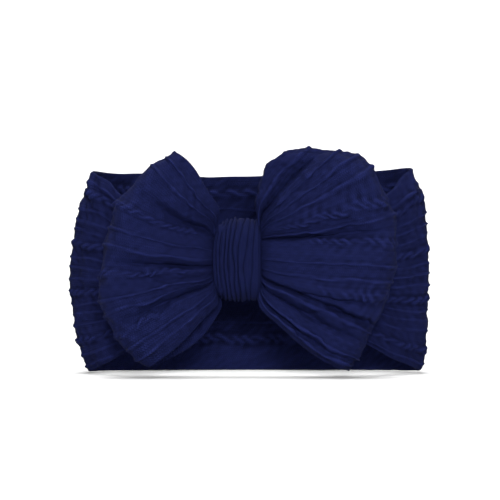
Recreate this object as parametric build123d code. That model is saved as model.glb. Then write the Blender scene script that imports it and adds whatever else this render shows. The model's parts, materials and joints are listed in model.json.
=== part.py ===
from build123d import *

import math
import os

# A wide knitted headband with a large bow, standing on its lower edge as it sits round a head.
# Millimetres. +Z is up, the bow faces -Y and +X is the wearer's left.
# The origin is on the standing plane, under the middle of the overall box.

# ---------------------------------------------------------------- driving dimensions
BAND_WIDTH = 170.0  # across the relaxed loop, at its widest
BAND_END_WIDTH = 156.0  # across the loop at its upper and lower edges, which the gather pulls in
BAND_DEPTH = 58.0  # front to back, relaxed
BAND_HEIGHT = 94.0  # the knit's own width
BAND_WALL = 1.8  # the knit is a flattened tube, so its wall is two plies

BOW_TOP = 103.0
LEFT_REACH = 69.0  # from the middle of the box to the outer fold of each loop
RIGHT_REACH = 67.5
LOOP_THICK = 20.0  # front ply to back ply where a loop is fullest
LOOP_WALL = 1.7
LOOP_TILT = 4.0  # degrees that each loop stands forward of the band

KNOT_X = -5.4  # the knot sits a little to one side
KNOT_Z = 53.4
KNOT_WIDTH = 22.4
KNOT_HEIGHT = 39.0
KNOT_DEPTH = 22.4
WRAP_WALL = 2.2
WRAP_CORNER = 6.8  # inside corner radius of the wrap

FLAP_PLY = 1.2  # the wrap's free end, lapped on the inside of the band
FLAP_LOW = KNOT_Z - 4.0
FLAP_HIGH = KNOT_Z + 7.0

THREAD = 0.6  # sewing thread, doubled
TIE_DEPTH = 1.4  # how deep the gathering thread sinks into the waist

# ---------------------------------------------------------------- places worked out from them
# Depths are first measured forwards from the band's front face, then moved to centre the box.
RUNNING_GAP = 0.4  # between pieces that move apart
KNOT_FRONT = 15.8  # how far the knot's front face stands ahead of the band's front face
LAP_PLY = 2.4  # thickness of each gathered band end
LAP_HEIGHT = 27.0  # height of the band's gathered ends, where the wrap is rounded
LAP_AHEAD = LAP_PLY + RUNNING_GAP / 4 - BAND_WALL / 2  # how far the lap stands ahead of the front face
WAIST_DEPTH = KNOT_FRONT - WRAP_WALL - LAP_AHEAD - 1.5  # of the bow's gathered middle
WAIST_AHEAD = KNOT_FRONT - WRAP_WALL - 0.3 - WAIST_DEPTH / 2
GATHER_HEIGHT = 32.0  # height of the bow's waist

KNOT_LEFT = KNOT_X - KNOT_WIDTH / 2
KNOT_RIGHT = KNOT_X + KNOT_WIDTH / 2
ROOT_RADIUS = 3.4  # half the thickness of a loop where the wrap pinches it
HINGE_OUT = 1.0  # the flex line stands this far outside the wrap
LEFT_HINGE_X = KNOT_LEFT - HINGE_OUT
RIGHT_HINGE_X = KNOT_RIGHT + HINGE_OUT
LEFT_LENGTH = LEFT_REACH + LEFT_HINGE_X
RIGHT_LENGTH = RIGHT_REACH - RIGHT_HINGE_X
TIP_RADIUS = LOOP_THICK / 2

LEAN = math.sin(math.radians(LOOP_TILT))
LOOP_AHEAD = WAIST_AHEAD + (RIGHT_LENGTH - TIP_RADIUS) * LEAN + TIP_RADIUS
BAND_Y = LOOP_AHEAD / 2  # the band's middle, so that the overall box is centred on the origin
BAND_FRONT = BAND_Y - BAND_DEPTH / 2
HINGE_Y = WAIST_Y = BAND_FRONT - WAIST_AHEAD
LAP_FRONT = BAND_FRONT - LAP_AHEAD
LAP_MEET = LAP_FRONT + LAP_PLY + RUNNING_GAP / 2
LAP_BACK = LAP_MEET + LAP_PLY
LAP_LOW = KNOT_Z - LAP_HEIGHT / 2
LAP_HIGH = KNOT_Z + LAP_HEIGHT / 2

WRAP_FRONT = BAND_FRONT - KNOT_FRONT
WRAP_BACK = WRAP_FRONT + KNOT_DEPTH
WRAP_MID = (WRAP_FRONT + WRAP_BACK) / 2
CAVITY_DEPTH = KNOT_DEPTH - 2 * WRAP_WALL
CAVITY_HEIGHT = KNOT_HEIGHT - 2 * WRAP_WALL
EVERYWHERE = 400.0  # longer than the object, for cutting


def barrel(width, end_width, depth):
    """An oval barrel as tall as the band, narrower across its two ends."""
    shrink = (width - end_width) / 2
    levels = [(0, shrink), (BAND_HEIGHT / 2, 0), (BAND_HEIGHT, shrink)]
    sections = [Pos(0, BAND_Y, z) * Ellipse(width / 2 - s, depth / 2) for z, s in levels]
    return loft(sections)


def band_ring():
    """The whole band wall, before it is divided and gathered."""
    outer = barrel(BAND_WIDTH, BAND_END_WIDTH, BAND_DEPTH)
    inner = barrel(BAND_WIDTH - 2 * BAND_WALL, BAND_END_WIDTH - 2 * BAND_WALL, BAND_DEPTH - 2 * BAND_WALL)
    return outer - inner


def slab(x_low, x_high, y_low, y_high, z_low, z_high):
    """A plain block between two corners."""
    size = (x_high - x_low, y_high - y_low, z_high - z_low)
    middle = ((x_low + x_high) / 2, (y_low + y_high) / 2, (z_low + z_high) / 2)
    return Pos(*middle) * Box(*size)


def front_view(outline):
    """A prism through the whole depth from an outline seen from the front, as (x, z)."""
    face = make_face(Plane.XZ * outline)
    return Pos(0, EVERYWHERE / 2, 0) * extrude(face, amount=EVERYWHERE, dir=(0, -1, 0))


def fan_outline(side, knot_edge):
    """The front panel seen from the front: full height at the side fold, gathered at the knot."""
    edge_x = side * (BAND_WIDTH / 2 + 1)
    corner_x = side * (BAND_END_WIDTH / 2 - 6)
    near_x = knot_edge + side * 18
    spread = 3.5  # above and below the gathered end, at near_x
    slope = 0.9  # of the panel's two edges where they leave the side folds
    top = Spline(
        (corner_x, BAND_HEIGHT), (near_x, LAP_HIGH + spread), (knot_edge, LAP_HIGH),
        tangents=[(-side, -slope), (-side, 0)],
    )
    bottom = Spline(
        (knot_edge, LAP_LOW), (near_x, LAP_LOW - spread), (corner_x, 0),
        tangents=[(side, 0), (side, -slope)],
    )
    rest = Polyline((corner_x, 0), (edge_x, 0), (edge_x, BAND_HEIGHT), (corner_x, BAND_HEIGHT))
    knot_side = Line((knot_edge, LAP_HIGH), (knot_edge, LAP_LOW))
    return Curve() + [top, knot_side, bottom, rest]


def band_back():
    """The rear half of the band, a half barrel from side fold to side fold."""
    behind = slab(-EVERYWHERE, EVERYWHERE, BAND_Y + RUNNING_GAP / 2, EVERYWHERE, -1, BAND_HEIGHT + 1)
    return band_ring() & behind


def band_front(side):
    """One front panel with its gathered end, which laps over the other end inside the wrap."""
    inside_wrap = 0.6  # where the panel turns into its gathered end
    knot_edge = KNOT_LEFT + inside_wrap if side < 0 else KNOT_RIGHT - inside_wrap
    ahead = slab(-EVERYWHERE, EVERYWHERE, -EVERYWHERE, BAND_Y - RUNNING_GAP / 2, -1, BAND_HEIGHT + 1)
    panel = band_ring() & ahead & front_view(fan_outline(side, knot_edge))
    short_of_far_side = 4.0
    lap_length = KNOT_WIDTH - short_of_far_side
    near_x = knot_edge + side * 2 * inside_wrap
    far_x = knot_edge - side * lap_length
    low_y = LAP_FRONT if side < 0 else LAP_MEET
    tab = slab(min(near_x, far_x), max(near_x, far_x), low_y, low_y + LAP_PLY, LAP_LOW, LAP_HIGH)
    step_width = 0.8
    step_x = sorted((near_x, knot_edge - side * step_width))
    inside = BAND_FRONT + BAND_WALL / 2 + 0.1
    step = slab(*step_x, min(low_y, inside), max(low_y + LAP_PLY, inside), LAP_LOW, LAP_HIGH)
    return panel + tab + step


def rounded_section(depth, height, radius, y_middle):
    """A rounded oblong in the YZ plane, where the wrap and the waist have their sections."""
    return Plane.YZ * Pos(y_middle, KNOT_Z) * RectangleRounded(depth, height, radius)


def along_x(section, x_low, x_high):
    """A prism from a YZ section."""
    return Pos(x_low, 0, 0) * extrude(section, amount=x_high - x_low, dir=(1, 0, 0))


def thread_along(path):
    """Sewing thread along a path."""
    return sweep(Plane(path @ 0, z_dir=path % 0) * Circle(THREAD / 2), path=path)


def centre_wrap():
    """The strip wound once round the waist, with its free end lapped on the inside of the band."""
    outer_radius = WRAP_CORNER + WRAP_WALL
    outer = along_x(rounded_section(KNOT_DEPTH, KNOT_HEIGHT, outer_radius, WRAP_MID), KNOT_LEFT, KNOT_RIGHT)
    rim_radius = 1.0
    outer = fillet(outer.edges().filter_by(Plane.YZ), rim_radius)
    cavity = along_x(
        rounded_section(CAVITY_DEPTH, CAVITY_HEIGHT, WRAP_CORNER, WRAP_MID), KNOT_LEFT - 1, KNOT_RIGHT + 1
    )
    inset = 1.5
    seat = 0.6  # how deep the flap is set into the turn below it
    flap_x = (KNOT_LEFT + inset, KNOT_RIGHT - inset)
    flap = slab(*flap_x, WRAP_BACK - seat, WRAP_BACK + FLAP_PLY, FLAP_LOW, FLAP_HIGH)
    flap = fillet(flap.edges().filter_by(Axis.Y), rim_radius)
    return outer - cavity + flap


def wrap_closing_stitches():
    """One thread, whipped over the free edge of the wrap: up onto the flap, down onto the turn below."""
    stitches = 6
    margin = 3.0
    bite_up = 1.8
    bite_down = 1.4
    pitch = (KNOT_WIDTH - 2 * margin) / (2 * stitches)
    on_flap = (WRAP_BACK + FLAP_PLY + THREAD / 2, FLAP_LOW + bite_up)
    on_wrap = (WRAP_BACK + THREAD / 2, FLAP_LOW - bite_down)
    places = [on_flap if i % 2 else on_wrap for i in range(2 * stitches + 1)]
    points = [(KNOT_LEFT + margin + i * pitch, y, z) for i, (y, z) in enumerate(places)]
    return thread_along(FilletPolyline(*points, radius=THREAD * 0.6))


def bow_waist():
    """The middle of the bow's strip, gathered into pleats, with a hollow where the thread ties it."""
    x_low = LEFT_HINGE_X + ROOT_RADIUS + RUNNING_GAP
    x_high = RIGHT_HINGE_X - ROOT_RADIUS - RUNNING_GAP
    radius = WAIST_DEPTH / 2 - 0.3
    body = along_x(rounded_section(WAIST_DEPTH, GATHER_HEIGHT, radius, WAIST_Y), x_low, x_high)
    tie_width = 4.0
    depth = WAIST_DEPTH - 2 * TIE_DEPTH
    height = GATHER_HEIGHT - 2 * TIE_DEPTH
    neck = rounded_section(depth, height, radius - TIE_DEPTH, WAIST_Y)
    groove = along_x(
        rounded_section(WAIST_DEPTH + 2, GATHER_HEIGHT + 2, radius, WAIST_Y) - neck,
        KNOT_X - tie_width / 2, KNOT_X + tie_width / 2,
    )
    body = body - groove
    pleats = 7
    pleat_radius = 0.7
    pleated_height = GATHER_HEIGHT - 8
    for i in range(pleats):
        z = KNOT_Z + (i - (pleats - 1) / 2) * pleated_height / (pleats - 1)
        for y in (WAIST_Y - WAIST_DEPTH / 2, WAIST_Y + WAIST_DEPTH / 2):
            body -= along_x(Plane.YZ * Pos(y, z) * Circle(pleat_radius), x_low - 1, x_high + 1)
    return body


def bow_tie_thread():
    """The gathering thread: turns lying side by side round the waist, pulled tight."""
    turns = 4
    slack = 0.1
    depth = WAIST_DEPTH - 2 * TIE_DEPTH + THREAD + slack
    height = GATHER_HEIGHT - 2 * TIE_DEPTH + THREAD + slack
    turn = thread_along(rounded_section(depth, height, depth / 2 - 0.5, WAIST_Y).face().outer_wire())
    pitch = THREAD * 0.9
    return Part() + [Pos(KNOT_X + (i - (turns - 1) / 2) * pitch, 0, 0) * turn for i in range(turns)]


def band_lap_stitches():
    """One thread in a running stitch through both gathered ends of the band."""
    stitches = 5
    margin = 3.0
    slack = 0.05
    step = (LAP_HEIGHT - 2 * margin) / (2 * stitches)
    front = LAP_FRONT - THREAD / 2 - slack
    back = LAP_BACK + THREAD / 2 + slack
    points = []
    for i in range(2 * stitches):
        z = LAP_LOW + margin + i * step
        y_here, y_next = (front, back) if i % 2 else (back, front)
        points.append((KNOT_X, y_here, z))
        points.append((KNOT_X, y_next, z))
    return thread_along(FilletPolyline(*points[1:], radius=THREAD * 0.6))


def loop_section(length):
    """A folded loop seen from above, its root at the origin and its fold towards +X."""
    fold_x = length - TIP_RADIUS
    hollow_start = 11.0
    hollow_root = 1.6
    outer = make_hull((Circle(ROOT_RADIUS) + Pos(fold_x, 0) * Circle(TIP_RADIUS)).edges())
    inner = Pos(hollow_start, 0) * Circle(hollow_root) + Pos(fold_x, 0) * Circle(TIP_RADIUS - LOOP_WALL)
    return outer - make_hull(inner.edges())


def loop_outline(side, hinge_x, top_edge, outer_fold, low_edge):
    """The fan of a loop from the front: its neck inside the wrap, upper edge, outer fold and lower edge."""
    root_x = hinge_x - side * (ROOT_RADIUS + 1)
    neck_x = hinge_x + side * ROOT_RADIUS
    clear_of_knot = KNOT_HEIGHT / 2 + 0.6
    neck_top = [(root_x, LAP_HIGH), (neck_x, LAP_HIGH), (neck_x, KNOT_Z + clear_of_knot)]
    neck_foot = [(neck_x, KNOT_Z - clear_of_knot), (neck_x, LAP_LOW), (root_x, LAP_LOW)]
    upper = Polyline(*neck_top, *top_edge)
    lower = Polyline(*low_edge, *neck_foot, neck_top[0])
    return Curve() + [upper, Spline(*outer_fold), lower]


def bow_loop(side, hinge_x, length, outline):
    """One loop of the bow: front ply, outer fold and back ply, cut to the fan that shows from the front."""
    heading = 180 + LOOP_TILT if side < 0 else -LOOP_TILT
    standing = Pos(hinge_x, HINGE_Y, 0) * Rot(0, 0, heading) * extrude(loop_section(length), amount=BOW_TOP)
    return standing & front_view(outline)


def bow_loop_left():
    """The loop on the left as seen from the front, with a sharp upper corner."""
    peak = (-33, 102.5)
    foot = (-46, 4.5)
    top_edge = [(-15, 77), (-20, 88), peak]
    outer_fold = [peak, (-51, 92), (-60, 79.5), (-68, 53), (-68, 37), (-60, 18), foot]
    low_edge = [foot, (-34, 12), (-23, 20), (-17.5, 31)]
    outline = loop_outline(-1, LEFT_HINGE_X, top_edge, outer_fold, low_edge)
    return bow_loop(-1, LEFT_HINGE_X, LEFT_LENGTH, outline)


def bow_loop_right():
    """The loop on the right, broader and rounded at the top."""
    shoulder = (37, BOW_TOP)
    foot = (45, 3.5)
    top_edge = [(4.5, 77), (5, 88), (11, 100), (18, BOW_TOP), shoulder]
    outer_fold = [shoulder, (52, 95), (61, 80), (67, 62), (65, 42), (56, 20), foot]
    low_edge = [foot, (36.5, 8), (21, 19), (8.5, 29.5)]
    outline = loop_outline(1, RIGHT_HINGE_X, top_edge, outer_fold, low_edge)
    return bow_loop(1, RIGHT_HINGE_X, RIGHT_LENGTH, outline)


os.makedirs("parts", exist_ok=True)
NODES = {
    "band_back": band_back(),
    "band_front_left": band_front(-1),
    "band_front_right": band_front(1),
    "band_lap_stitches": band_lap_stitches(),
    "bow_loop_left": bow_loop_left(),
    "bow_loop_right": bow_loop_right(),
    "bow_waist": bow_waist(),
    "bow_tie_thread": bow_tie_thread(),
    "centre_wrap": centre_wrap(),
    "wrap_closing_stitches": wrap_closing_stitches(),
}
for name, shape in NODES.items():
    export_step(shape, f"parts/{name}.step")
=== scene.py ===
import json
import math

import bmesh
import bpy
import numpy as np
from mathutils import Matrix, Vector


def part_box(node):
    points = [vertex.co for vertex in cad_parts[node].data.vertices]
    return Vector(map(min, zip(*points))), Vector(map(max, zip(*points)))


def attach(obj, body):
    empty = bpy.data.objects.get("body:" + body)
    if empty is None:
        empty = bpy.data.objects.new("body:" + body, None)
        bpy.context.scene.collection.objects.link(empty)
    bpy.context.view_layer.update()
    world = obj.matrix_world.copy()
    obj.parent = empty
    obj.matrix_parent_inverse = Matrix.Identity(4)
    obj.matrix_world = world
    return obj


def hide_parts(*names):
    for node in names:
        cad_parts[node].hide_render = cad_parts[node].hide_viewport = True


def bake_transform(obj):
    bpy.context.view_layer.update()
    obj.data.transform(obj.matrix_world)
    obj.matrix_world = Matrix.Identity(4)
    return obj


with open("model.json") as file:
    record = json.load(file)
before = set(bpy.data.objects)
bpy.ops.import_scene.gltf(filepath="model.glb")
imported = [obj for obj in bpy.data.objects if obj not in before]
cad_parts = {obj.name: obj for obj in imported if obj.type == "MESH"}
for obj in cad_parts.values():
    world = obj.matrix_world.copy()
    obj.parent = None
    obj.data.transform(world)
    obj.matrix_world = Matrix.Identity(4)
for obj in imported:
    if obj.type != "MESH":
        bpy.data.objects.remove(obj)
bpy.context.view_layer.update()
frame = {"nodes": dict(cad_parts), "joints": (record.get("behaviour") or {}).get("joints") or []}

MM = 0.001

# A wide cable-knit headband with a large bow. Lengths are millimetres until a mesh is made.
# "Along" runs with the knit's ribs, round the band or out along a bow loop. "Across" is the knit's width.


def box_mm(node):
    """The corners of a CAD node, in millimetres."""
    low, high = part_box(node)
    return np.array(low) / MM, np.array(high) / MM


def hinge_mm(name):
    """A point on a joint's axis, in millimetres."""
    joint = next(j for j in frame["joints"] if j["name"] == name)
    return np.array(joint["pos_m"]) / MM


# ---------------------------------------------------------------- places, from the frame
WRAP_LOW, WRAP_HIGH = box_mm("centre_wrap")
BACK_LOW, BACK_HIGH = box_mm("band_back")

KNOT_LEFT, KNOT_RIGHT = WRAP_LOW[0], WRAP_HIGH[0]
KNOT_X = (KNOT_LEFT + KNOT_RIGHT) / 2
KNOT_Z = (WRAP_LOW[2] + WRAP_HIGH[2]) / 2
KNOT_HALF = (WRAP_HIGH[2] - WRAP_LOW[2]) / 2
FLAP = 1.2  # the wrap's lapped end stands this far off its back
WRAP_FRONT, WRAP_BACK = WRAP_LOW[1], WRAP_HIGH[1] - FLAP

HALF_GAP = 0.2  # half the gap between the band's front and back solids
BAND_Y = BACK_LOW[1] - HALF_GAP
BAND_TOP = BACK_HIGH[2]
HALF_DEPTH = BACK_HIGH[1] - BAND_Y
LEFT_HINGE = hinge_mm("left_loop_flex")
RIGHT_HINGE = hinge_mm("right_loop_flex")

# ---------------------------------------------------------------- the knit
KNIT_WIDTH = BAND_TOP
CABLES = (15.0, 38.5, 61.5, 86.0)  # places across the knit
RIBS = (3.5, 8.5, 23.0, 28.0, 32.5, 45.0, 50.0, 55.0, 68.0, 73.0, 78.0, 91.0)
INSIDE_RIBS = (23.0, 50.0, 78.0)  # the few ribs that show on the band's inner face
HALF_KNIT = 0.7  # half the thickness of the flattened tube


def smooth_through(places, values, at):
    """A smooth curve through values at increasing places, read at any array of places."""
    places = np.asarray(places, float)
    values = np.asarray(values, float)
    steps = np.diff(places)
    slopes = np.diff(values, axis=0) / steps.reshape(-1, *[1] * (values.ndim - 1))
    same_way = slopes[:-1] * slopes[1:] > 0
    with np.errstate(divide="ignore", invalid="ignore"):
        middle = np.where(same_way, 2 * slopes[:-1] * slopes[1:] / (slopes[:-1] + slopes[1:]), 0)
    tangents = np.concatenate([slopes[:1], middle, slopes[-1:]])
    at = np.clip(at, places[0], places[-1])
    i = np.clip(np.searchsorted(places, at, side="right") - 1, 0, len(steps) - 1)
    step = steps[i]
    t = (at - places[i]) / step
    if values.ndim > 1:
        t, step = t[..., None], step[..., None]
    return (
        (2 * t**3 - 3 * t**2 + 1) * values[i] + (t**3 - 2 * t**2 + t) * step * tangents[i]
        + (3 * t**2 - 2 * t**3) * values[i + 1] + (t**3 - t**2) * step * tangents[i + 1]
    )


def wobble(along, across, seed, length, width, waves=7):
    """Smooth irregularity between about -1 and 1, with features of that length and width."""
    random = np.random.default_rng(seed)
    total = 0.0
    for _ in range(waves):
        kx, ky = random.uniform(-1.4, 1.4, 2)
        phase = random.uniform(0, 2 * math.pi)
        total = total + np.sin(2 * math.pi * (kx * along / length + ky * across / width) + phase)
    return total / math.sqrt(waves)


def rib(across, place, width=0.6):
    """A fine raised rib, 1 high."""
    return np.exp(-(((across - place) / width) ** 2))


def cable(along, across, place, seed, pitch, size=1.0):
    """Two strands twisted round each other, uneven along their run, with puckers pulled up beside them."""
    turn = math.pi * along / pitch + 0.8 * wobble(along, 0, seed, 23.0, 1.0)
    off = (across - place - 0.6 * wobble(along, 0, seed + 1, 18.0, 1.0)) / size
    strength = np.clip(0.72 + 0.3 * wobble(along, 0, seed + 2, 13.0, 1.0), 0.35, 1.1)
    strand = 0.9  # half the width of one strand
    swing = 0.95 * np.sin(turn)
    rise = 0.8 * np.cos(turn)
    first = np.exp(-(((off - swing) / strand) ** 2)) * (1 + rise)
    second = np.exp(-(((off + swing) / strand) ** 2)) * (1 - rise)
    beside = np.exp(-np.abs(off) / 3.5) * np.clip(np.abs(off) / 1.5, 0, 1)
    pucker = 0.26 * np.sin(2 * turn + 0.8 * off) * beside
    gutter = -0.3 * np.exp(-(((np.abs(off) - 2.3) / 0.8) ** 2))
    return strength * (0.9 * np.maximum(first, second) + gutter) + pucker


def knit_relief(along, across, cables, ribs, seed, pitches=(5.0,), rib_height=0.85, size=1.0, shows=()):
    """How far each point of the knit's face stands off its flattened tube.

    `shows` is how much of each cable stands up, along its run.
    """
    relief = 0.2 * wobble(along, across, seed, 26.0, 12.0)
    relief = relief + 0.14 * wobble(along, across, seed + 5, 6.0, 4.0)
    relief = relief + 0.04 * wobble(along, across, seed + 7, 24.0, 1.7)
    for i, place in enumerate(cables):
        height = size * shows[i] if len(shows) else size
        relief = relief + height * cable(along, across, place, seed + 11 * i, pitches[i % len(pitches)], size)
    for i, place in enumerate(ribs):
        drift = 0.42 * wobble(along, 0, seed + 200 + i, 26.0, 1.0)
        swell = 1 + 0.4 * wobble(along, 0, seed + 230 + i, 14.0, 1.0)
        relief = relief + rib_height * rib(across, place + drift) * swell
    return relief


def columns_across(width, features, count):
    """Places across the cloth, closer together at its edges, ribs and cables."""
    fine = np.linspace(0, width, 4000)
    density = np.ones_like(fine)
    for place in features:
        density += 1.6 * np.exp(-(((fine - place) / 1.3) ** 2))
    edge = np.minimum(fine, width - fine)
    density += 6.0 * np.exp(-edge / 0.4)
    total = np.cumsum(density)
    total = (total - total[0]) / (total[-1] - total[0])
    return np.interp(np.linspace(0, 1, count), total, fine)


def rounded_edge(across, width, radius):
    """1 over the cloth, falling to 0 round its two edges."""
    inward = np.clip(np.minimum(across, width - across) / radius, 0, 1)
    return np.sqrt(1 - (1 - inward) ** 2)


def grid_normals(points):
    """Unit normals of a grid of points."""
    normal = np.cross(np.gradient(points, axis=0), np.gradient(points, axis=1))
    return normal / np.maximum(np.linalg.norm(normal, axis=2, keepdims=True), 1e-9)


def smoothed(values, times):
    """A grid of vectors, averaged with its neighbours along both directions."""
    for _ in range(times):
        for axis in (0, 1):
            ahead = np.roll(values, -1, axis)
            behind = np.roll(values, 1, axis)
            last = [slice(None)] * values.ndim
            first = [slice(None)] * values.ndim
            last[axis], first[axis] = -1, 0
            ahead[tuple(last)] = values[tuple(last)]
            behind[tuple(first)] = values[tuple(first)]
            values = (ahead + 2 * values + behind) / 4
    return values


def cloth_piece(name, faces_of_cloth, along, across, material, inner_step=1, closed=False, shade=0.0):
    """A closed soft sheet from its outer and inner faces: rows run along the cloth, columns across it.

    `shade` is painted shade on the inner face, where the piece shuts itself in.
    """
    (outer, outer_relief), (inner, inner_relief) = faces_of_cloth
    rows, columns, _ = outer.shape
    under = np.unique(np.append(np.arange(columns - 2, 0, -inner_step), 1))[::-1]
    points = np.concatenate([outer, inner[:, under]], axis=1)
    relief = np.concatenate([outer_relief, inner_relief[:, under]], axis=1)
    # Painted shade on the inner face.
    painted_inner_shade = np.concatenate([0 * outer_relief, (shade + 0 * inner_relief)[:, under]], axis=1)
    widths = np.concatenate([across, across[under]])
    ring = points.shape[1]
    lengths = np.append(along, 2 * along[-1] - along[-2])
    row = np.arange(rows if closed else rows - 1)[:, None]
    column = np.arange(ring)[None, :]
    next_column = (column + 1) % ring
    next_row = (row + 1) % rows
    corners = [(row, column), (row, next_column), (next_row, next_column), (next_row, column)]
    quads = np.stack([r * ring + c for r, c in corners], axis=-1).reshape(-1, 4)
    raised = [(row, column), (row, next_column), (row + 1, next_column), (row + 1, column)]
    places = [np.stack(np.broadcast_arrays(lengths[r], widths[c]), axis=-1) for r, c in raised]
    uvs = np.stack(places, axis=2).reshape(-1, 2)
    faces = quads.tolist()
    if not closed:
        for first in (0, rows - 1):
            faces.append(list(range(first * ring, first * ring + ring)))
            uvs = np.concatenate([uvs, np.stack([np.full(ring, lengths[first]), widths], axis=-1)])
    mesh = bpy.data.meshes.new(name)
    mesh.from_pydata((points.reshape(-1, 3) * MM).tolist(), [], faces)
    layer = mesh.uv_layers.new(name="knit")
    layer.data.foreach_set("uv", (uvs * 0.1).astype(np.float32).ravel())
    # The depth between ridges plus the inner face's painted shade, which the knit turns into painted shade.
    hollow = mesh.attributes.new("hollow", "FLOAT", "POINT")
    hollow.data.foreach_set("value", (hollow_of(relief) + painted_inner_shade).astype(np.float32).ravel())
    return finished(name, mesh, material)


def hollow_of(relief):
    """How deep each point lies between its neighbours' ridges: 1 in a deep crevice, below 0 on a crest."""
    around = smoothed(relief, 10)
    return np.clip((around - relief) / 0.45, -1, 1)


def finished(name, mesh, material):
    """An object from a mesh, with its normals outwards and its shading smooth."""
    working = bmesh.new()
    working.from_mesh(mesh)
    bmesh.ops.recalc_face_normals(working, faces=working.faces)
    working.to_mesh(mesh)
    working.free()
    mesh.polygons.foreach_set("use_smooth", [True] * len(mesh.polygons))
    piece = bpy.data.objects.new(name, mesh)
    bpy.context.scene.collection.objects.link(piece)
    mesh.materials.append(material)
    return piece


# ---------------------------------------------------------------- materials
def node_maker(material):
    """A function that adds a node to a material, with its settings and inputs."""
    tree = material.node_tree

    def add(kind, settings=(), **inputs):
        node = tree.nodes.new("ShaderNode" + kind)
        for key, value in dict(settings).items():
            setattr(node, key, value)
        for key, value in inputs.items():
            socket = node.inputs[int(key[1:])] if key[0] == "i" and key[1:].isdigit() else node.inputs[key]
            if isinstance(value, bpy.types.NodeSocket):
                tree.links.new(value, socket)
            else:
                socket.default_value = value
        return node

    return add


def shader_of(material):
    """The material's Principled shader."""
    material.use_nodes = True
    return next(n for n in material.node_tree.nodes if n.type == "BSDF_PRINCIPLED")


def knit_material(name, color):
    """Fine nylon jersey: rows of V stitches with painted light and shade on them, a slightly uneven dye, and
    painted shade where it lies deep.
    """
    material = bpy.data.materials.new(name)
    shader = shader_of(material)
    add = node_maker(material)
    links = material.node_tree.links
    knit = add("UVMap", {"uv_map": "knit"}).outputs["UV"]
    parts = add("SeparateXYZ", Vector=knit).outputs
    stitch_width = 0.105  # in the map's centimetres
    stitch_length = 0.095
    wale = add("Math", {"operation": "MULTIPLY"}, i0=parts["Y"], i1=1 / stitch_width).outputs[0]
    saw = add("Math", {"operation": "FRACT"}, i0=wale).outputs[0]
    centred = add("Math", {"operation": "SUBTRACT"}, i0=saw, i1=0.5).outputs[0]
    arm = add("Math", {"operation": "ABSOLUTE"}, i0=centred).outputs[0]
    course = add("Math", {"operation": "MULTIPLY"}, i0=parts["X"], i1=1 / stitch_length).outputs[0]
    pair = add("Math", {"operation": "MODULO"}, i0=wale, i1=2.0).outputs[0]
    every_other = add("Math", {"operation": "GREATER_THAN"}, i0=pair, i1=1.0).outputs[0]
    offset = add("Math", {"operation": "MULTIPLY_ADD"}, i0=every_other, i1=0.5, i2=course).outputs[0]
    slanted = add("Math", {"operation": "ADD"}, i0=offset, i1=arm).outputs[0]
    wave = add("Math", {"operation": "MULTIPLY"}, i0=slanted, i1=2 * math.pi).outputs[0]
    loops = add("Math", {"operation": "SINE"}, i0=wave).outputs[0]
    groove = add("Math", {"operation": "MULTIPLY"}, i0=arm, i1=-0.9).outputs[0]
    height = add("Math", {"operation": "MULTIPLY_ADD"}, i0=loops, i1=0.5, i2=groove).outputs[0]
    fuzz = add("TexNoise", Vector=knit, Scale=14.0, Detail=4.0, Roughness=0.65).outputs["Fac"]
    body = add("TexNoise", Vector=knit, Scale=1.6, Detail=3.0, Roughness=0.6).outputs["Fac"]
    rough_height = add("Math", {"operation": "MULTIPLY_ADD"}, i0=fuzz, i1=0.9, i2=height).outputs[0]
    bump = add("Bump", Strength=0.8, Distance=0.0004, Height=rough_height)
    links.new(bump.outputs["Normal"], shader.inputs["Normal"])

    # Painted light and shade on the stitches: their tops lighter, their grooves darker.
    lit = add("MapRange", i0=height, i1=-0.95, i2=0.5, i3=0.72, i4=1.18).outputs[0]
    dye = add("MapRange", i0=body, i1=0.3, i2=0.7, i3=0.95, i4=1.05).outputs[0]
    speck = add("MapRange", i0=fuzz, i1=0.35, i2=0.7, i3=0.95, i4=1.06).outputs[0]
    shade = add("Math", {"operation": "MULTIPLY"}, i0=lit, i1=dye).outputs[0]
    shade = add("Math", {"operation": "MULTIPLY"}, i0=shade, i1=speck).outputs[0]
    # Painted shade: the knit is darker where it lies deep between ridges, and on inner faces that are shut
    # in.
    hollow = add("Attribute", {"attribute_name": "hollow"}).outputs["Fac"]
    painted_crevice_shade = add("MapRange", i0=hollow, i1=-0.8, i2=0.9, i3=1.22, i4=0.5).outputs[0]
    shade = add("Math", {"operation": "MULTIPLY"}, i0=shade, i1=painted_crevice_shade).outputs[0]
    tint = add("VectorMath", {"operation": "SCALE"}, i0=color, Scale=shade).outputs[0]
    links.new(tint, shader.inputs["Base Color"])
    rough = add("MapRange", i0=fuzz, i1=0.3, i2=0.7, i3=0.8, i4=0.95).outputs[0]
    links.new(rough, shader.inputs["Roughness"])
    shader.inputs["Specular IOR Level"].default_value = 0.02
    shader.inputs["Sheen Weight"].default_value = 0.0
    return material


def thread_material():
    """Doubled polyester sewing thread: a tight twist, with a slight gloss."""
    material = bpy.data.materials.new("sewing_thread")
    shader = shader_of(material)
    add = node_maker(material)
    links = material.node_tree.links
    place = add("TexCoord").outputs["Object"]
    twist = add("TexWave", {"bands_direction": "DIAGONAL"}, Vector=place, Scale=900.0, Distortion=1.5)
    bump = add("Bump", Strength=0.5, Distance=0.0001, Height=twist.outputs["Fac"])
    links.new(bump.outputs["Normal"], shader.inputs["Normal"])
    # Painted light and shade along the twist: the strands lighter, the grooves between them darker.
    shade = add("MapRange", i0=twist.outputs["Fac"], i1=0.0, i2=1.0, i3=0.7, i4=1.25).outputs[0]
    tint = add("VectorMath", {"operation": "SCALE"}, i0=(0.009, 0.012, 0.05), Scale=shade).outputs[0]
    links.new(tint, shader.inputs["Base Color"])
    shader.inputs["Roughness"].default_value = 0.45
    shader.inputs["Specular IOR Level"].default_value = 0.3
    return material


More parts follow.
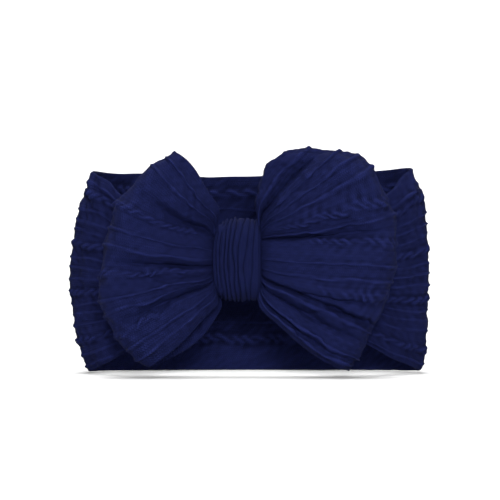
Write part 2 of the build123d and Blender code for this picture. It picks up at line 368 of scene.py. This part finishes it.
NAVY = (0.0048, 0.0067, 0.0331)
WRAP_NAVY = (0.0041, 0.0058, 0.0284)  # the wrap is stretched thinner, so it looks darker
BAND_KNIT = knit_material("band_knit_navy", NAVY)
BOW_KNIT = knit_material("bow_knit_navy", NAVY)
WRAP_KNIT = knit_material("wrap_knit_navy", WRAP_NAVY)
THREAD = thread_material()


# ---------------------------------------------------------------- the band
def side_reach(height, right):
    """How far the side fold stands out at each height: the gather pulls its top and bottom in."""
    if right:
        return smooth_through([0, 3, 25, 50, 80, 94], [79.5, 81.4, 83.4, 84.3, 81.6, 76.8], height)
    return smooth_through([0, 15, 42, 69, 94], [75.8, 82.0, 84.3, 81.4, 74.0], height)


# Folds that the gathering pulls up at the band's corners, most of them at the top:
# (turn in degrees, height, slant in degrees, length, rise).
CORNER_FOLDS = (
    (283, 90, -32, 13, 1.5),
    (291, 84, -36, 12, 1.6),
    (297, 88, -30, 10, 1.2),
    (276, 80, -22, 9, 1.1),
    (281, 24, 24, 12, 1.2),
    (77, 90, 34, 12, 1.4),
    (69, 84, 30, 12, 1.3),
    (84, 78, 20, 9, 1.1),
    (75, 22, -22, 11, 1.0),
)
FOLD_TURN_MM = 1.2  # about the knit's length for each degree of turn
FOLD_HALF_WIDTH = 1.7


def corner_folds(turn, height):
    """How far the corner folds stand off the band."""
    total = 0.0
    for fold_turn, fold_height, slant, length, rise in CORNER_FOLDS:
        sideways = FOLD_TURN_MM * (turn[:, None] - fold_turn)
        upwards = height - fold_height
        lean = math.radians(slant)
        over = sideways * math.cos(lean) + upwards * math.sin(lean)
        beside = upwards * math.cos(lean) - sideways * math.sin(lean)
        total = total + rise * np.exp(-((over / length) ** 2)) * np.exp(-((beside / FOLD_HALF_WIDTH) ** 2))
    return total


def build_band():
    """The band, from its lapped end in the wrap, round the right side and the back, to its other end."""
    mouth_reach = 78  # the ends run into the wrap where an oval of this half width meets its sides
    mouth_right = math.asin(KNOT_RIGHT / mouth_reach)
    mouth_left = 2 * math.pi - math.asin(-KNOT_LEFT / mouth_reach)
    fine = np.linspace(mouth_right, mouth_left, 3000)
    plan = np.stack([83 * np.sin(fine), -HALF_DEPTH * np.cos(fine)], axis=1)
    lengths = np.append(0, np.cumsum(np.linalg.norm(np.diff(plan, axis=0), axis=1)))
    round_rows = 400
    phi = np.interp(np.linspace(0, lengths[-1], round_rows), lengths, fine)
    row_step = lengths[-1] / (round_rows - 1)
    lap_length = 16.0
    lap_rows = int(lap_length / row_step)
    inside = np.arange(lap_rows, 0, -1) * row_step
    phi = np.concatenate([np.full(lap_rows, mouth_right), phi, np.full(lap_rows, mouth_left)])
    into_right = np.concatenate([inside, np.zeros(round_rows + lap_rows)])
    into_left = np.concatenate([np.zeros(round_rows + lap_rows), inside[::-1]])
    along = (np.arange(len(phi)) - lap_rows) * row_step

    width = KNIT_WIDTH
    across = columns_across(width, CABLES + RIBS, 165)
    turn = np.degrees(phi)
    gather = [math.degrees(mouth_right), 19, 31, 45, 58, 75, 90, 180, 270, 286, 301, 309, 329, 340, 348]
    # Its top and foot at each of those turns. At the wrap it is gathered to about a quarter of its width.
    tops = [66.2, 69.5, 74.0, 80.5, 87.0, 94.5, 96.8, 93.4, 95.0, 93.0, 89.0, 84.5, 74.5, 69.5, 66.2]
    feet = [40.6, 33.0, 22.0, 12.5, 6.5, 2.6, 1.2, 0.0, 0.8, 2.0, 4.8, 8.0, 19.0, 30.5, 40.6]
    top = smooth_through(gather, tops, turn)[:, None]
    foot = smooth_through(gather, feet, turn)[:, None]
    share = (across / width)[None, :]
    squeeze = (top - foot) / width
    height = foot + (top - foot) * share
    reach = np.where((turn < 180)[:, None], side_reach(height, True), side_reach(height, False))
    wall = 0.9
    x = (reach - wall) * np.sin(phi)[:, None] - into_right[:, None] + into_left[:, None]
    y = BAND_Y - (HALF_DEPTH - wall) * np.cos(phi)[:, None] + 0 * height

    pinch = np.clip((0.97 - squeeze) / 0.68, 0, 1)
    pleat_count = 7.5
    wave = share * pleat_count * 2 * math.pi + 0.5 * wobble(along[:, None], 0, 3, 60.0, 1.0)
    fold = 2 * np.sqrt(np.abs(np.sin(wave / 2))) - 1.1
    hidden = np.clip((into_right + into_left) / 4.0, 0, 1)[:, None]
    y = y - fold * pinch**1.2 * (2.0 - 1.3 * hidden)
    lap = np.clip((KNOT_RIGHT + 12 - x) / 12, 0, 1) * (turn < 90)[:, None]
    y = y + 1.5 * lap**2 * (3 - 2 * lap)
    lap = np.clip((x - KNOT_LEFT + 12) / 12, 0, 1) * (turn > 270)[:, None]
    y = y - 1.2 * lap**2 * (3 - 2 * lap)

    sway = wobble(along[:, None], across[None, :], 21, 55.0, 70.0)
    pucker = wobble(along[:, None], across[None, :], 23, 17.0, 30.0)
    outward = np.stack([np.sin(phi), -np.cos(phi)], axis=1)
    crimp = wobble(along[:, None], across[None, :], 27, 8.0, 13.0)
    loose = (1 - pinch) * (0.8 * sway + 0.45 * pucker + 0.16 * crimp) + corner_folds(turn, height)
    x = x + loose * outward[:, :1]
    y = y + loose * outward[:, 1:]
    edge_wave = 0.5 * wobble(along, 0, 31, 34.0, 1.0)[:, None] * (2 * share - 1) * (1 - pinch)
    base = np.stack([x, y, height + edge_wave * (share > 0.5)], axis=2)

    drift = smooth_through([0, 60, 90, 130, 200, 270, 360], [-3, -5.5, -5.0, -1.0, 0.5, -1.0, -1.0], turn)
    knit_across = across[None, :] - drift[:, None]
    normals = smoothed(grid_normals(base), 1)
    thick = HALF_KNIT * rounded_edge(across, width, 1.0)[None, :] * (1 - 0.45 * pinch)
    full = rounded_edge(across, width, 1.6)[None, :]
    strength = full * (1 - 0.5 * pinch) * (1 - 0.6 * hidden)
    outside = knit_relief(along[:, None], knit_across, CABLES, RIBS, 50, (5.5, 5.0), 0.6) * strength
    inside_pitches = (6.0, 5.5, 5.5, 7.8)
    within = knit_relief(along[:, None], across[None, :], CABLES, INSIDE_RIBS, 70, inside_pitches, 0.55, 1.25)
    within = within * strength * 0.75
    side = np.sign(np.mean(normals[lap_rows + round_rows // 2, :, 1]))
    outer = base + side * normals * (thick + outside)[..., None]
    inner = base - side * normals * (thick + within)[..., None]
    # Painted shade on the inner face, where it is shut in: darker above its lowest part, and a painted shadow
    # just behind the knot's foot.
    at_back = (y > BAND_Y) & (np.abs(x) < 60)
    foot_z, patch_width, patch_height = 30, 26, 9
    beside_knot = ((x - KNOT_X) / patch_width) ** 2
    painted_knot_shadow = np.exp(-beside_knot - ((height - foot_z) / patch_height) ** 2) * at_back
    shade = 0.32 * np.clip((height - 12) / 14, 0, 1) + 0.75 * painted_knot_shadow
    faces_of_band = ((outer, outside), (inner, within))
    band = cloth_piece("headband", faces_of_band, along, across, BAND_KNIT, shade=shade)
    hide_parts("band_back", "band_front_left", "band_front_right")
    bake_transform(band)
    return band


# ---------------------------------------------------------------- the bow's loops
# Each line runs out along the knit from the knot to the outer fold, in the order they lie down the loop:
# (place across the knit, height at the knot, middle (x, z), outer fold (x, z), fullness at the knot,
# at the middle and near the fold, what the line is). A valley is a sharp crease and the rest are round.
LEFT_LINES = (
    (0.0, 66.5, (-21.9, 90.0), (-33.1, 101.9), -0.10, -0.30, -0.20, "edge"),
    (7.0, 66.0, (-26.4, 85.5), (-37.7, 99.6), 0.25, 0.10, 0.05, "rib"),
    (14.0, 65.4, (-29.4, 81.2), (-44.6, 95.6), 0.30, 0.25, 0.15, "rib"),
    (20.0, 64.6, (-33.0, 77.2), (-50.0, 91.4), 0.00, 0.05, 0.05, "plain"),
    (25.0, 63.6, (-36.7, 74.3), (-53.8, 86.4), -0.70, -0.32, -0.12, "plain"),
    (32.0, 62.0, (-38.6, 68.9), (-60.8, 78.4), 0.20, 0.15, 0.12, "cable"),
    (41.5, 57.0, (-40.6, 61.8), (-64.4, 67.6), 0.30, 0.20, 0.18, "rib"),
    (47.0, 53.0, (-43.0, 56.2), (-66.6, 60.6), 0.30, 0.27, 0.18, "rib"),
    (51.5, 50.6, (-43.8, 51.6), (-67.4, 53.0), -0.80, -0.30, -0.06, "valley"),
    (56.5, 48.9, (-43.1, 47.6), (-68.6, 46.0), 0.05, 0.12, 0.16, "cable"),
    (62.0, 47.5, (-41.6, 43.8), (-67.9, 40.4), -0.10, -0.05, 0.02, "plain"),
    (67.0, 46.5, (-40.6, 40.8), (-67.6, 34.8), 0.15, 0.14, 0.14, "rib"),
    (72.0, 45.5, (-40.4, 37.0), (-65.6, 28.2), 0.00, 0.05, 0.10, "rib"),
    (76.0, 44.7, (-39.3, 33.7), (-62.8, 23.6), -0.70, -0.32, -0.08, "valley"),
    (80.5, 43.7, (-37.2, 31.0), (-60.4, 18.4), 0.10, 0.08, 0.12, "cable"),
    (87.0, 42.5, (-33.4, 27.2), (-55.4, 12.6), 0.30, 0.20, 0.10, "rib"),
    (91.5, 41.5, (-29.6, 24.4), (-51.0, 8.6), 0.10, 0.10, 0.05, "rib"),
    (97.0, 40.5, (-25.2, 21.6), (-44.6, 5.0), -0.20, -0.35, -0.25, "edge"),
)
LEFT_BACK = (
    (0.0, 66.0, (-22.4, 88.0)),
    (30.0, 61.0, (-40.0, 71.0)),
    (60.0, 50.0, (-44.0, 46.0)),
    (97.0, 40.7, (-20.6, 19.4)),
)
RIGHT_LINES = (
    (0.0, 67.0, (5.9, 89.6), (16.0, 101.8), -1.05, -1.25, -1.00, "edge"),
    (4.0, 66.9, (7.6, 90.2), (21.0, 102.8), -0.35, -0.70, -0.60, "plain"),
    (8.0, 66.6, (11.6, 89.2), (28.0, 103.0), -0.25, -0.55, -0.45, "rib"),
    (12.5, 66.2, (16.6, 86.4), (35.6, 102.6), -0.95, -0.95, -0.45, "valley"),
    (17.0, 65.6, (21.6, 85.8), (42.6, 102.8), 0.05, 0.02, -0.05, "rib"),
    (22.0, 65.0, (25.6, 83.6), (50.2, 100.6), 0.28, 0.24, 0.08, "rib"),
    (27.0, 64.4, (28.6, 79.0), (56.6, 94.8), 0.28, 0.28, 0.14, "rib"),
    (32.5, 63.5, (31.9, 71.6), (63.6, 80.4), 0.20, 0.20, 0.14, "cable"),
    (38.0, 62.8, (35.4, 67.4), (66.2, 73.4), -0.05, 0.02, 0.08, "rib"),
    (41.5, 62.0, (36.4, 64.4), (67.4, 67.6), -0.75, -0.32, -0.06, "valley"),
    (46.0, 60.6, (35.8, 61.2), (67.8, 60.2), 0.10, 0.18, 0.14, "cable"),
    (54.0, 54.0, (34.5, 51.6), (67.2, 50.8), 0.30, 0.28, 0.18, "rib"),
    (60.0, 49.8, (34.3, 45.0), (66.2, 43.4), 0.26, 0.28, 0.20, "rib"),
    (63.8, 48.0, (33.4, 39.2), (64.2, 37.6), 0.15, 0.24, 0.12, "cable"),
    (65.8, 47.5, (33.2, 37.2), (62.4, 33.4), -0.15, -0.08, -0.12, "valley"),
    (67.6, 47.1, (33.0, 36.2), (58.8, 26.2), -0.25, 0.06, 0.26, "plain"),
    (69.0, 46.6, (32.0, 34.8), (57.2, 24.4), -0.90, -0.58, -0.60, "valley"),
    (73.5, 45.6, (30.6, 31.4), (55.6, 20.8), 0.12, 0.12, -0.04, "rib"),
    (78.0, 44.3, (29.0, 27.6), (53.6, 16.6), -0.70, -0.42, -0.26, "valley"),
    (82.5, 43.3, (27.6, 24.2), (51.2, 12.6), 0.05, 0.02, -0.05, "plain"),
    (86.5, 42.3, (26.2, 21.4), (49.2, 9.2), 0.22, 0.14, 0.02, "rib"),
    (89.0, 41.8, (25.4, 19.8), (48.2, 7.6), -0.25, -0.16, -0.05, "valley"),
    (92.5, 41.1, (24.2, 17.8), (46.8, 5.8), 0.12, 0.05, 0.0, "rib"),
    (97.0, 40.5, (22.6, 15.8), (44.4, 3.6), -0.10, -0.35, -0.25, "edge"),
)
RIGHT_BACK = (
    (0.0, 66.5, (9.0, 88.0)),
    (20.0, 64.5, (26.0, 82.0)),
    (50.0, 52.0, (36.0, 50.0)),
    (75.0, 44.6, (33.0, 28.0)),
    (97.0, 40.7, (22.0, 16.5)),
)
LOOP_WIDTH = 97.0  # the lines above count across a loop from 0 to this; the knit itself is 94 mm wide
# How far the cloth spreads as it leaves the wrap, (towards the knot, up) at its top edge and at its foot.
LEFT_FLARES = ((3.4, 4.6), (3.0, -3.0))
RIGHT_FLARES = ((1.8, 5.6), (3.0, -3.4))
# How far out along the loop, from 0 to 1, each cable starts to stand up.
LEFT_CABLES_BEGIN = (0.05, 0.0, 0.45)
RIGHT_CABLES_BEGIN = (0.02, 0.2, 0.4)


def crease_level(lines, which, across):
    """Fullness across the loop: sharp in the valleys and round over the ridges."""
    places = np.array([line[0] for line in lines])
    level = np.array([line[which] for line in lines])
    sharp = np.array([line[7] == "valley" for line in lines])
    i = np.clip(np.searchsorted(places, across, side="right") - 1, 0, len(places) - 2)
    t = (across - places[i]) / (places[i + 1] - places[i])
    both_round = t * t * (3 - 2 * t)
    from_valley = np.sin(math.pi / 2 * t)
    to_valley = 1 - np.cos(math.pi / 2 * t)
    ease = np.where(sharp[i], from_valley, np.where(sharp[i + 1], to_valley, both_round))
    return level[i] + (level[i + 1] - level[i]) * ease


def through_three(start, middle, end, t):
    """Points of a parabola that passes the middle at t = 0.5."""
    t = t[:, None, None]
    return (
        (1 - t) * (1 - 2 * t) * start[None] + 4 * t * (1 - t) * middle[None] + t * (2 * t - 1) * end[None]
    )


def build_loop(name, side, lines, back_lines, hinge, flares, cable_begins, seed):
    """One loop: out over its front ply, round the outer fold and back along its back ply."""
    knot_edge = KNOT_LEFT + 0.6 if side < 0 else KNOT_RIGHT - 0.6
    cables = [line[0] for line in lines if line[7] == "cable"]
    ribs = [line[0] for line in lines if line[7] == "rib"]
    across = columns_across(LOOP_WIDTH, cables + ribs, 280)
    places = [line[0] for line in lines]
    start = smooth_through(places, [(knot_edge, line[1]) for line in lines], across)
    middle = smooth_through(places, [line[2] for line in lines], across)
    outer_fold = smooth_through(places, [line[3] for line in lines], across)
    outer_fold[:, 0] -= side * 1.6 * np.sin(math.pi * across / LOOP_WIDTH)  # room for the knit's thickness
    back_places = [line[0] for line in back_lines]
    back_start = smooth_through(back_places, [(knot_edge, line[1]) for line in back_lines], across)
    back_middle = smooth_through(back_places, [line[2] for line in back_lines], across)

    fold_start = 0.84
    flat_rows, fold_rows = 92, 16
    out = np.linspace(0, fold_start, flat_rows)
    angle = np.linspace(0, math.pi / 2, fold_rows + 1)[1:]
    reach = np.concatenate([out, fold_start + (1 - fold_start) * np.sin(angle)])
    closing = np.concatenate([np.ones(flat_rows), np.cos(angle)])
    swell = smooth_through([0, 0.1, 0.35, 0.7, 1.0], [1.7, 5.6, 9.0, 10.2, 10.0], reach) * closing
    middle_y = hinge[1] - 3.0 * reach
    levels = np.stack([crease_level(lines, which, across) for which in (4, 5, 6)], axis=0)
    near, mid, far = (np.clip(1 - np.abs(reach - r) / 0.5, 0, 1)[:, None] for r in (0.0, 0.5, 1.0))
    fullness = near * levels[0] + mid * levels[1] + far * levels[2]
    front_xz = through_three(start, middle, outer_fold, reach)
    back_xz = through_three(back_start, back_middle, outer_fold, reach)
    front_y = middle_y[:, None] - swell[:, None] * (1 + fullness)
    back_wave = np.abs(np.sin(across / LOOP_WIDTH * math.pi * 5.3 + 0.4))[None, :]
    back_wave = 0.55 * (np.sqrt(back_wave) - 0.75) * (1 - 0.6 * reach)[:, None]
    back_y = middle_y[:, None] + swell[:, None] * (0.72 + 0.5 * back_wave)

    puff = (reach / 0.09 * np.exp(1 - reach / 0.09))[:, None]  # how the cloth spreads as it leaves the wrap
    upper = np.clip(1 - 2 * across / LOOP_WIDTH, 0, 1)[None, :]
    lower = np.clip(2 * across / LOOP_WIDTH - 1, 0, 1)[None, :]
    for xz in (front_xz, back_xz):
        for share, (over, beyond) in ((upper, flares[0]), (lower, flares[1])):
            xz[..., 0] -= side * over * puff * share**4
            xz[..., 1] += beyond * puff * share**1.2

    front = np.stack([front_xz[..., 0], front_y, front_xz[..., 1]], axis=2)
    back = np.stack([back_xz[..., 0], back_y, back_xz[..., 1]], axis=2)
    tail_rows = 9
    tail = np.linspace(1, 1 / tail_rows, tail_rows)[:, None, None]
    core = np.array([0.0, hinge[1], KNOT_Z])
    inward = np.array([-side * 7.5, 0.0, 0.0])
    narrowing = np.array([0.0, 0.45, 0.22])  # the cloth narrows as it runs into the wrap
    front_tail = front[:1] + tail * (inward - narrowing * (front[:1] - core))
    back_tail = (back[:1] + tail * (inward - narrowing * (back[:1] - core)))[::-1]
    base = np.concatenate([front_tail, front, back[-2::-1], back_tail])
    steps = np.linalg.norm(np.diff(base[:, base.shape[1] // 2], axis=0), axis=1)
    along = np.append(0, np.cumsum(steps))

    near_knot = np.concatenate([np.zeros(tail_rows), reach, reach[-2::-1], np.zeros(tail_rows)])[:, None]
    spread = np.clip(near_knot / 0.45, 0, 1)
    ripple = wobble(along[:, None], across[None, :], seed, 24.0, 20.0)
    small = wobble(along[:, None], across[None, :], seed + 1, 9.0, 9.0)
    normals = smoothed(grid_normals(base), 2)
    if np.mean(normals[tail_rows + 30, :, 1]) > 0:
        normals = -normals
    base = base + normals * ((0.55 * ripple + 0.22 * small) * spread)[..., None]
    normals = smoothed(grid_normals(base), 1)
    if np.mean(normals[tail_rows + 30, :, 1]) > 0:
        normals = -normals
    thick = HALF_KNIT * rounded_edge(across, LOOP_WIDTH, 1.0)[None, :] * (0.45 + 0.55 * spread)
    strength = rounded_edge(across, LOOP_WIDTH, 1.6)[None, :] * (0.55 + 0.45 * spread)
    shows = [np.clip((near_knot - begins) / 0.3, 0.15, 1.0) for begins in cable_begins]
    knit = {"pitches": (4.6,), "size": 0.85, "shows": shows}
    outside = knit_relief(along[:, None], across[None, :], cables, ribs, seed + 40, **knit) * strength
    within = knit_relief(along[:, None] + 2.0, across[None, :], cables, ribs, seed + 80, **knit)
    within = within * strength * 0.8
    outer = base + normals * (thick + outside)[..., None]
    inner = base - normals * (thick + within)[..., None]
    loop = cloth_piece(name, ((outer, outside), (inner, within)), along, across, BOW_KNIT, inner_step=3)
    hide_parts("bow_loop_left" if side < 0 else "bow_loop_right")
    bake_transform(loop)
    return loop


# ---------------------------------------------------------------- the centre wrap
# Creases across the wrap, from its left edge to its right, at its top, middle and bottom.
CREASES = (
    (0.00, 0.00, 0.00),
    (0.06, 0.06, 0.08),
    (0.15, 0.14, 0.15),
    (0.23, 0.25, 0.24),
    (0.36, 0.335, 0.365),
    (0.47, 0.435, 0.50),
    (0.63, 0.52, 0.61),
    (0.78, 0.66, 0.70),
    (0.90, 0.80, 0.77),
    (1.00, 1.00, 1.00),
)
WRAP_WIDTH = 22.4  # gathered, in front
NOISE_WIDTH = 22  # the wrap's width as its noise counts it
WRAP_KNIT_WIDTH = 30.0  # the same strip laid flat, for its stitches
PLEAT_HEIGHTS = (1.05, 1.35, 1.75, 1.4, 1.9, 1.55, 1.35, 1.15, 1.5)


def pleats(across, lift):
    """The wrap's gathers: rounded ridges between its creases, each with a fine rib on it."""
    top, middle, bottom = np.array(CREASES).T
    places = [m + (t - b) / 2 * lift + ((t + b) / 2 - m) * lift**2 for t, m, b in zip(top, middle, bottom)]
    total = 0.0
    for i, height in enumerate(PLEAT_HEIGHTS):
        t = (across - places[i]) / (places[i + 1] - places[i])
        inside = (t >= 0) & (t <= 1)
        round_top = np.clip(4 * t * (1 - t), 0, 1) ** 0.42
        fine = 0.22 * np.exp(-(((t - 0.3 - 0.25 * (i % 3) / 2) / 0.1) ** 2))
        total = total + np.where(inside, height * round_top + fine, 0)
    return total


def wrap_section(half_depth, half_height, radius, count):
    """Points (y, z) round a rounded oblong from the middle of its back up, with their outward directions."""
    quarter = np.linspace(0, math.pi / 2, 24)
    corners = []
    for turn, cy, cz in ((0, 1, 1), (1, -1, 1), (2, -1, -1), (3, 1, -1)):
        angle = quarter + turn * math.pi / 2
        arc = np.stack([np.cos(angle), np.sin(angle)], axis=1) * radius
        corners.append(arc + np.array([cy * (half_depth - radius), cz * (half_height - radius)]))
    loop = np.concatenate([[[half_depth, 0]], *corners, [[half_depth, 0]]])
    lengths = np.append(0, np.cumsum(np.linalg.norm(np.diff(loop, axis=0), axis=1)))
    at = np.linspace(0, lengths[-1], count, endpoint=False)
    points = np.stack([np.interp(at, lengths, loop[:, i]) for i in (0, 1)], axis=1)
    tangent = np.roll(points, -1, axis=0) - np.roll(points, 1, axis=0)
    normal = np.stack([tangent[:, 1], -tangent[:, 0]], axis=1)
    return points, normal / np.linalg.norm(normal, axis=1, keepdims=True), at


def build_wrap():
    """The strip wound round the middle, gathered into soft pleats, its end lapped at the back."""
    fold = 1.5
    wall = 1.0
    half_depth = (WRAP_BACK - WRAP_FRONT) / 2 - fold - wall
    half_height = KNOT_HALF - fold - wall
    section, normal, along = wrap_section(half_depth, half_height, 8.4, 240)
    across = (1 - np.cos(np.linspace(0, math.pi, 190))) / 2
    across = 0.25 * across + 0.75 * np.linspace(0, 1, 190)
    lift = section[:, 1] / KNOT_HALF
    front = section[:, 0] < 0
    left = KNOT_LEFT + 0.1 + (3.1 + 0.9 * lift) * np.abs(lift) ** 2.2
    right = KNOT_RIGHT - 0.1 - 0.7 * np.abs(lift) ** 3
    sway = 0.02 * wobble(along[:, None], across[None, :] * NOISE_WIDTH, 90, 22.0, 9.0)
    places = across[None, :] + sway * np.sin(math.pi * across)[None, :]
    x = left[:, None] + (right - left)[:, None] * across[None, :]
    relief = pleats(places, lift[:, None] + 0 * places)
    relief = relief + 0.16 * wobble(along[:, None], across[None, :] * NOISE_WIDTH, 95, 7.0, 4.0) - 0.3
    # How far the two rims roll in.
    rims = 3.2 * np.exp(-across / 0.18) + 1.7 * np.exp(-(1 - across) / 0.11)

    z = KNOT_Z + section[:, 1]
    back = (~front) & (np.abs(section[:, 1]) < half_height - 4)
    flap_low, flap_high = KNOT_Z - 4.0, KNOT_Z + 7.0
    on_flap = back & (z > flap_low)
    rise = np.clip((flap_high + 6 - z) / 10, 0, 1) * on_flap
    body = np.stack([x, (WRAP_FRONT + WRAP_BACK) / 2 + section[:, :1] + 0 * x, z[:, None] + 0 * x], axis=2)
    outward = np.stack([0 * x, normal[:, :1] + 0 * x, normal[:, 1:] + 0 * x], axis=2)
    roll = np.where(back, 0.4, 0.45 + 0.55 * lift**2)
    body = body - outward * (roll[:, None] * rims[None, :])[..., None]
    flattened = np.where(back, 0.45, 1.0)[:, None]
    level = relief * flattened + np.where(back, 0.75, 0.0)[:, None] + FLAP * rise[:, None]
    edge = rounded_edge(across * WRAP_WIDTH, WRAP_WIDTH, 2.0)[None, :]
    outer = body + outward * ((wall + np.clip(level, -0.5, None)) * edge)[..., None]
    folded_with_it = np.clip(relief * flattened, -0.5, None)  # gathered cloth is pleated on both faces
    inner = body + outward * ((folded_with_it - wall) * edge)[..., None]
    faces = ((outer, relief), (inner, 0 * relief))
    wrap = cloth_piece("centre_wrap_knot", faces, along, across * WRAP_KNIT_WIDTH, WRAP_KNIT, closed=True)
    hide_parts("centre_wrap")
    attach(wrap, "front")
    return wrap


def finish_cad_nodes():
    """Materials for the CAD pieces that stay: the threads, and the bow's waist inside the wrap."""
    for node, material in (
        ("band_lap_stitches", THREAD),
        ("bow_tie_thread", THREAD),
        ("wrap_closing_stitches", THREAD),
        ("bow_waist", BOW_KNIT),
    ):
        mesh = frame["nodes"][node].data
        if node == "bow_waist":
            plain_map(mesh)
        mesh.materials.clear()
        mesh.materials.append(material)


def plain_map(mesh):
    """A knit map for a CAD node: along X, and across round its section."""
    layer = mesh.uv_layers.new(name="knit")
    corners = [mesh.vertices[loop.vertex_index].co for loop in mesh.loops]
    flat = [(c.x * 100, (c.z + c.y) * 100) for c in corners]
    layer.data.foreach_set("uv", np.array(flat, np.float32).ravel())


# ---------------------------------------------------------------- the stage, light and camera
def plain_material(name, color, roughness):
    material = bpy.data.materials.new(name)
    shader = shader_of(material)
    shader.inputs["Base Color"].default_value = (*color, 1)
    shader.inputs["Roughness"].default_value = roughness
    shader.inputs["Specular IOR Level"].default_value = 0.1
    return material


def build_stage():
    """A pale floor that curves up into a backdrop behind the object."""
    half, depth, rise, bend = 9.0, 1.6, 3.0, 0.8
    profile = [(-10.0, 0.0), (depth - bend, 0.0)]
    for i in range(1, 13):
        a = math.pi / 2 * i / 12
        profile.append((depth - bend + bend * math.sin(a), bend - bend * math.cos(a)))
    profile.append((depth, rise))
    points = [(x, y, z) for y, z in profile for x in (-half, half)]
    faces = [(2 * i, 2 * i + 1, 2 * i + 3, 2 * i + 2) for i in range(len(profile) - 1)]
    mesh = bpy.data.meshes.new("floor")
    mesh.from_pydata(points, [], faces)
    floor = bpy.data.objects.new("floor", mesh)
    mesh.polygons.foreach_set("use_smooth", [True] * len(mesh.polygons))
    mesh.materials.append(plain_material("pale_floor", (0.55, 0.55, 0.55), 0.9))
    bpy.context.scene.collection.objects.link(floor)


def area_light(name, place, aim, size, power):
    """A square softbox."""
    data = bpy.data.lights.new(name, "AREA")
    data.shape = "SQUARE"
    data.size = size
    data.energy = power
    light = bpy.data.objects.new(name, data)
    light.location = place
    light.rotation_euler = (Vector(aim) - Vector(place)).to_track_quat("-Z", "Y").to_euler()
    bpy.context.scene.collection.objects.link(light)


def build_light():
    """A white room that is brightest overhead and in front, a high softbox, and a wash on the backdrop."""
    world = bpy.data.worlds.new("studio")
    bpy.context.scene.world = world
    world.use_nodes = True
    tree = world.node_tree
    background = tree.nodes["Background"]
    direction = tree.nodes.new("ShaderNodeTexCoord").outputs["Generated"]
    parts = tree.nodes.new("ShaderNodeSeparateXYZ")
    tree.links.new(direction, parts.inputs[0])
    sideways = tree.nodes.new("ShaderNodeMath")
    sideways.operation = "ABSOLUTE"
    tree.links.new(parts.outputs["X"], sideways.inputs[0])
    fade = tree.nodes.new("ShaderNodeMapRange")
    fade.inputs["From Min"].default_value = 0.3
    fade.inputs["From Max"].default_value = 0.95
    fade.inputs["To Min"].default_value = 0.26
    fade.inputs["To Max"].default_value = 0.18
    tree.links.new(sideways.outputs[0], fade.inputs[0])
    tree.links.new(fade.outputs[0], background.inputs["Strength"])
    background.inputs["Color"].default_value = (1, 1, 1, 1)
    middle = (0, 0, KNOT_Z * MM)
    area_light("key", (-0.12, -0.62, 1.0), middle, 0.3, 6.5)
    area_light("front", (0.1, -1.5, 0.4), middle, 0.34, 39.0)
    for side, name in ((-1, "low_left"), (1, "low_right")):
        area_light(name, (side * 0.9, -1.0, 0.06), (0, 0, 0.02), 0.25, 6.0)
    area_light("overhead", (0, -0.05, 1.3), middle, 0.35, 9.0)
    area_light("backdrop_wash", (0, 0.5, 2.2), (0, 1.6, 0.6), 1.5, 80.0)


def build_camera():
    """Level with the bow, square on, at portrait distance."""
    distance = 1.1
    data = bpy.data.cameras.new("camera")
    data.lens = 168.5
    data.sensor_width = 36
    camera = bpy.data.objects.new("camera", data)
    camera.location = (0.0005, BAND_Y * MM - distance, 0.0578)
    camera.rotation_euler = (math.pi / 2, 0, 0)
    bpy.context.scene.collection.objects.link(camera)
    bpy.context.scene.camera = camera
    bpy.context.scene.view_settings.view_transform = "Standard"


build_camera()
build_stage()
build_light()
build_band()
left_shape = (LEFT_LINES, LEFT_BACK, LEFT_HINGE, LEFT_FLARES, LEFT_CABLES_BEGIN)
right_shape = (RIGHT_LINES, RIGHT_BACK, RIGHT_HINGE, RIGHT_FLARES, RIGHT_CABLES_BEGIN)
build_loop("bow_loop_left_cloth", -1, *left_shape, 300)
build_loop("bow_loop_right_cloth", 1, *right_shape, 400)
build_wrap()
finish_cad_nodes()
